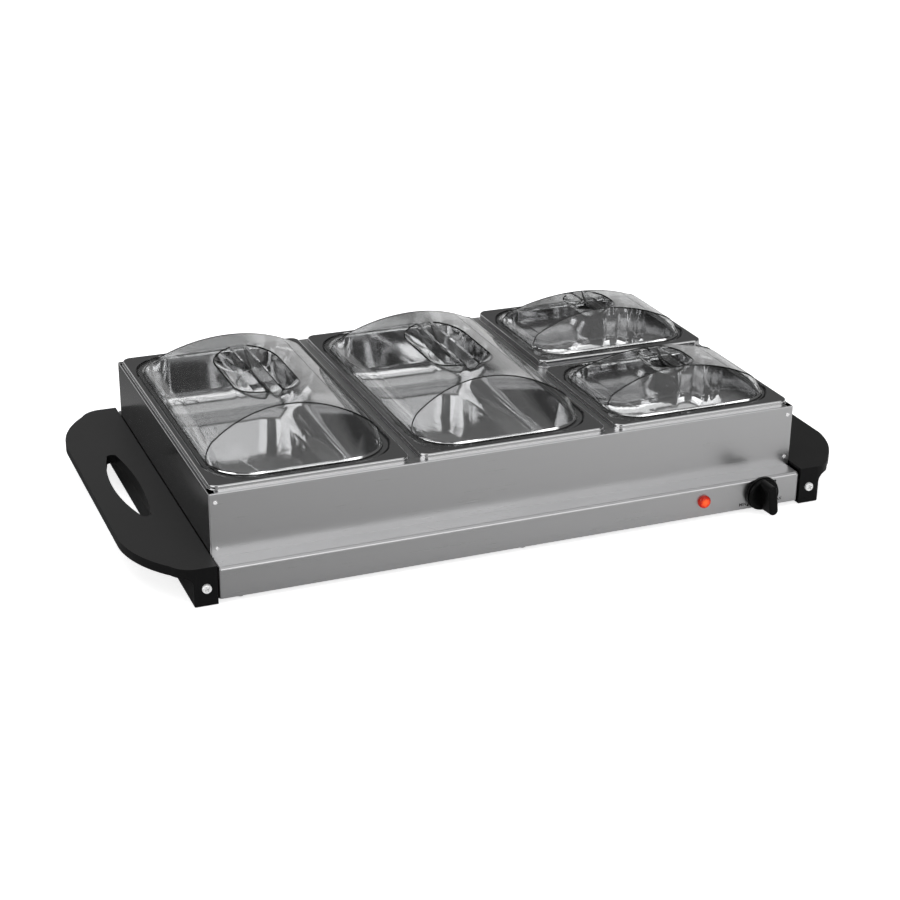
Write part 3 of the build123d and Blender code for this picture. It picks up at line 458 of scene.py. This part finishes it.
def paint_lit_tops(material, grey):
    """Paints the faces looking up lighter grey, a painted highlight for light on the tops."""
    tree = material.node_tree
    shader = tree.nodes["Principled BSDF"]
    facing = tree.nodes.new("ShaderNodeNewGeometry")
    upward = tree.nodes.new("ShaderNodeSeparateXYZ")
    tree.links.new(facing.outputs["Normal"], upward.inputs[0])
    top_light_share = spread(tree, upward.outputs["Z"], 0.0, 1.0, lit_top_start, lit_top_full)
    lit_top_tone = tree.nodes.new("ShaderNodeMix")
    lit_top_tone.data_type = "RGBA"
    lit_top_tone.inputs["B"].default_value = (grey, grey, grey, 1)
    tree.links.new(top_light_share, lit_top_tone.inputs["Factor"])
    tree.links.new(shader.inputs["Base Color"].links[0].from_socket, lit_top_tone.inputs["A"])
    tree.links.new(lit_top_tone.outputs["Result"], shader.inputs["Base Color"])


# painted highlight: the left handle's tops are painted lighter than the right's, for light from
# the back left
for side, top_light_grey in (("left", 0.03), ("right", 0.009)):
    handle_black = moulded(
        f"{side}_handle_black", (0.004, 0.004, 0.0042), 1100, (0.36, 0.48), 0.25, specular=0.14
    )
    paint_lit_tops(handle_black, top_light_grey)
    dress([f"{side}_handle"], handle_black)
bracket_zinc = plated("bracket_zinc", (0.55, 0.56, 0.57), 300, (0.7, 1.0))
dress(["left_end_bracket", "right_end_bracket"], bracket_zinc)
white_zinc = plated(
    "white_zinc", (0.93, 0.93, 0.93), 900, (0.85, 1.0), (0.2, 0.3), depth=0.02, metallic=0.4
)
dress(["handle_screws"], white_zinc)

# ---------------------------------------------------------------- feet
# Four low rubber pads under the handles and a fifth under the middle of the bottom cover
# keep the hot base off the table.  The bushing in the cord's hole is the same rubber.
foot_rubber = moulded(
    "foot_rubber", (0.012, 0.012, 0.012), 600, (0.6, 0.8), 0.4, specular=0.3
)
dress(["rubber_feet", "middle_foot", "cord_bushing"], foot_rubber)

# ---------------------------------------------------------------- heating
# Two sheathed elements lie against an aluminium spreader under the warming plate, held by
# plated straps on studs.  Heat has darkened the sheaths unevenly.
spreader_aluminium = brushed_steel(
    "spreader_aluminium", (0.72, 0.73, 0.74), (16, 700, 700), (0.3, 0.48)
)
dress(["heat_spreader"], spreader_aluminium)
sheath, sheath_tree, sheath_shader = new_finish("element_sheath", (0.2, 0.19, 0.18), 1.0, 0.4)
scorching = noise_in(sheath_tree, object_point(sheath_tree, (20, 90, 90)), 1.0, 4)
tint(sheath_tree, spread(sheath_tree, scorching, 0.2, 1.0), (0.26, 0.24, 0.22))
scale_marks = noise_in(sheath_tree, object_point(sheath_tree), 120)
sheath_tree.links.new(
    spread(sheath_tree, scale_marks, 0.3, 0.6), sheath_shader.inputs["Roughness"]
)
dress(["front_heating_element", "rear_heating_element"], sheath)
strap_zinc = plated("strap_zinc", (0.6, 0.61, 0.62), 260, (0.7, 1.0))
dress(["element_terminals", "element_straps", "strap_studs"], strap_zinc)

# ---------------------------------------------------------------- wiring
# A white terminal block takes the mains lead, and sleeved leads run from it to the
# thermostat, the elements and the lamp.
dress(["terminal_block"], moulded("block_white", (0.72, 0.71, 0.68), 500, (0.4, 0.5), 0.2))
dress(["lead_wires"], moulded("lead_sleeve", (0.55, 0.5, 0.42), 800, (0.6, 0.7), 0.5))

# ---------------------------------------------------------------- thermostat and knob
# The thermostat is bolted behind the fascia by its bush.  A black bar knob is pushed on its
# flatted shaft and turns between MIN and MAX.
thermostat_case = moulded("thermostat_case", (0.16, 0.12, 0.09), 500, (0.45, 0.6), 0.3)
dress(["thermostat_body"], thermostat_case)
dress(["thermostat_nut"], bright_zinc)
shaft_steel = brushed_steel("shaft_steel", (0.62, 0.62, 0.63), (900, 60, 900), (0.22, 0.36))
dress(["thermostat_shaft"], shaft_steel)
knob_black = moulded(
    "knob_black", (0.0015, 0.0015, 0.0016), 1400, (0.22, 0.3), 0.15, specular=0.14
)
dress(["control_knob"], knob_black)

# ---------------------------------------------------------------- printing
# The two words at the ends of the knob's range and a dot at each end are screen-printed in
# black on the fascia.
knob_x, knob_z = 0.226, 0.0184
fascia_y = -0.1765
word_z = 0.0088
letter_height = 0.0029
type_size_per_height = 1.4
ink_thickness = 0.00003
stroke_widening = 0.00009
dot_ring_radius = 0.0164
dot_radius = 0.0011
dot_thickness = 0.00004
print_black = moulded("print_black", (0.012, 0.012, 0.013), 700, (0.5, 0.6), 0.2)


def set_print(name, data, x, z):
    """Stands a flat mark upright on the fascia, in ink, as a piece of the base."""
    data.transform(Matrix.Translation((x, fascia_y, z)) @ Matrix.Rotation(pi / 2, 4, "X"))
    data.name = name
    data.materials.clear()
    data.materials.append(print_black)
    piece = bpy.data.objects.new(name, data)
    bpy.context.scene.collection.objects.link(piece)
    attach(piece, "base")


for word, aside in (("MIN", -0.0172), ("MAX", 0.0176)):
    curve = bpy.data.curves.new("print_" + word, "FONT")
    curve.body = word
    curve.size = letter_height * type_size_per_height
    curve.align_x, curve.align_y = "CENTER", "CENTER"
    curve.extrude = ink_thickness
    curve.offset = stroke_widening
    holder = bpy.data.objects.new("holder_" + word, curve)
    bpy.context.scene.collection.objects.link(holder)
    bpy.context.view_layer.update()
    shaped = holder.evaluated_get(bpy.context.evaluated_depsgraph_get())
    word_data = bpy.data.meshes.new_from_object(shaped)
    bpy.data.objects.remove(holder)
    set_print("print_" + word, word_data, knob_x + aside, word_z)

for label, angle in (("low", radians(222)), ("high", radians(31))):
    dot = bmesh.new()
    bmesh.ops.create_cone(
        dot,
        cap_ends=True,
        segments=24,
        radius1=dot_radius,
        radius2=dot_radius,
        depth=dot_thickness,
    )
    on_ring = (dot_ring_radius * cos(angle), dot_ring_radius * sin(angle), 0)
    bmesh.ops.translate(dot, verts=dot.verts, vec=on_ring)
    dot_data = bpy.data.meshes.new("print_dot_" + label)
    dot.to_mesh(dot_data)
    dot.free()
    set_print("print_dot_" + label, dot_data, knob_x, knob_z)

# ---------------------------------------------------------------- indicator lamp
# A neon lamp glows behind a domed amber-red lens that is pressed through the fascia and held
# by a push nut. The neon's light is painted onto the lens, which is not clear: its colour is
# painted bright in the middle and darker to the rim, broken up by a cell pattern for moulded
# ribs, and the lens glows faintly itself.
lamp_centre = (0.1695, fascia_y, 0.0184)
lens_radius = 0.0058
facet_scale = 750
facet_share = 0.3

lens, lens_tree, lens_shader = new_finish("lens_amber", (0.8, 0.06, 0.01), 0.0, 0.12)
facets = lens_tree.nodes.new("ShaderNodeTexVoronoi")
facets.inputs["Scale"].default_value = 1.0
lens_tree.links.new(
    object_point(lens_tree, (facet_scale, facet_scale, facet_scale), lamp_centre),
    facets.inputs["Vector"],
)
from_middle = lens_tree.nodes.new("ShaderNodeVectorMath")
from_middle.operation = "LENGTH"
lens_tree.links.new(
    object_point(lens_tree, (1 / lens_radius, 0, 1 / lens_radius), lamp_centre),
    from_middle.inputs[0],
)
# painted glow: the neon's light painted into the lens colour, brightest in the middle
lens_glow_tone = ramp_in(
    lens_tree,
    math_in(
        lens_tree,
        "MULTIPLY_ADD",
        facets.outputs["Distance"],
        facet_share,
        from_middle.outputs["Value"],
    ),
    [
        (0.1, (0.9, 0.14, 0.03)),
        (0.6, (0.78, 0.07, 0.014)),
        (0.88, (0.5, 0.02, 0.005)),
        (1.0, (0.33, 0.01, 0.003)),
    ],
)
lens_tree.links.new(lens_glow_tone, lens_shader.inputs["Base Color"])
lens_tree.links.new(lens_glow_tone, lens_shader.inputs["Emission Color"])
# painted glow: the lens itself glows a little with its painted colour
lens_shader.inputs["Emission Strength"].default_value = 0.2
lens_shader.inputs["Coat Weight"].default_value = 0.1
lens_shader.inputs["Coat Roughness"].default_value = 0.05
lens_shader.inputs["Specular IOR Level"].default_value = 0.3
dress(["indicator_lens"], lens)
dress(["indicator_push_nut"], bright_zinc)

neon, neon_tree, neon_shader = new_finish("neon_glass", (0.95, 0.6, 0.45), 0.0, 0.1)
neon_tree.links.new(
    spread(neon_tree, noise_in(neon_tree, object_point(neon_tree), 300), 0.05, 0.2),
    neon_shader.inputs["Roughness"],
)
neon_shader.inputs["Emission Color"].default_value = (1.0, 0.25, 0.06, 1)
neon_shader.inputs["Emission Strength"].default_value = 0.6
dress(["neon_lamp"], neon)

# ---------------------------------------------------------------- frame
# Four folded stainless panels, riveted at the corners, stand on the warming plate and
# carry the pans, with three crossbars between the pans.  Each panel and bar is brushed
# along its length.
long_panel_steel = brushed_steel("long_panel_steel", stainless_tone, (12, 900, 900))
dress(["frame_front_panel", "frame_rear_panel"], long_panel_steel)
end_panel_steel = brushed_steel("end_panel_steel", stainless_tone, (900, 12, 900), (0.1, 0.2))
dress(["frame_left_panel", "frame_right_panel"], end_panel_steel)
dress(["frame_rivets"], white_zinc)
long_bar_steel = brushed_steel("long_bar_steel", stainless_tone, (900, 14, 900))
dress(["left_crossbar", "right_crossbar"], long_bar_steel)
short_bar_steel = brushed_steel("short_bar_steel", stainless_tone, (14, 900, 900))
dress(["short_crossbar"], short_bar_steel)

# ---------------------------------------------------------------- pans
# The pans are drawn from thin bright-annealed stainless sheet.  Drawing has left the metal
# slightly uneven, so reflections waver on the walls and the floor.
pan_tone = (0.66, 0.66, 0.665)
waver_height = 0.0006
pan_steel, pan_tree, pan_shader = new_finish("pan_steel", pan_tone, 1.0, 0.04)
waver = noise_in(pan_tree, object_point(pan_tree, (14, 9, 22)), 1.0)
pan_tree.links.new(bump_in(pan_tree, waver, 0.1, waver_height), pan_shader.inputs["Normal"])
drawing_marks = noise_in(pan_tree, object_point(pan_tree, (200, 30, 200)), 1.0, 3.0)
pan_tree.links.new(
    spread(pan_tree, drawing_marks, 0.03, 0.09), pan_shader.inputs["Roughness"]
)
soft_patches = noise_in(pan_tree, object_point(pan_tree), 25)
tint(pan_tree, spread(pan_tree, soft_patches, 0.88, 1.0), pan_tone)
dress(["left_pan", "middle_pan", "rear_small_pan", "front_small_pan"], pan_steel)

# ---------------------------------------------------------------- lids
# Clear moulded covers, polished, about two millimetres thick, with finger recesses on both
# sides of a lifting bar.  Faint flow marks from moulding bend the light.
flow_mark_height = 0.0006
lid_clear, lid_tree, lid_shader = new_finish("lid_clear", (0.97, 0.975, 0.975), 0.0, 0.02)
lid_shader.inputs["Transmission Weight"].default_value = 1.0
lid_shader.inputs["IOR"].default_value = 1.49
flow_marks = noise_in(lid_tree, object_point(lid_tree, (18, 8, 18)), 1.0)
lid_tree.links.new(
    bump_in(lid_tree, flow_marks, 0.12, flow_mark_height), lid_shader.inputs["Normal"]
)
lid_tree.links.new(
    spread(lid_tree, noise_in(lid_tree, object_point(lid_tree), 60), 0.01, 0.05),
    lid_shader.inputs["Roughness"],
)
dress(["left_lid", "middle_lid", "rear_small_lid", "front_small_lid"], lid_clear)
